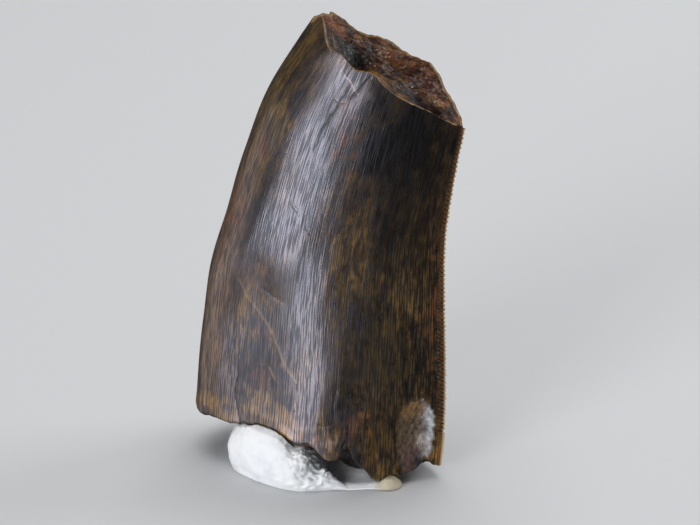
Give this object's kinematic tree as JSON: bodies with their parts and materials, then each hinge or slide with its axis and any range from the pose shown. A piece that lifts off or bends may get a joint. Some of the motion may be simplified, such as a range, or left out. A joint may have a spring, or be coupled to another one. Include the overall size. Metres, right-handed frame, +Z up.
{
  "type": "daspletosaurus tooth",
  "caption": "Fossil crown of a large theropod tooth with its tip broken off: a glossy brown curved blade with a finely serrated edge, standing in a lump of white putty.",
  "frame": {"origin": "on the surface that the putty rests on, under the middle of the crown's base", "axes": "+Z up, from the broken base to the broken tip; +X distal, towards the long row of denticles; -Y towards the labial face, which the picture shows"},
  "size_m": [0.0255, 0.015, 0.044],
  "materials": {
    "tooth": "gloss",
    "putty": "matte"
  },
  "bodies": {
    "root": {"tooth": "tooth", "putty": "putty"}
  },
  "joints": []
}
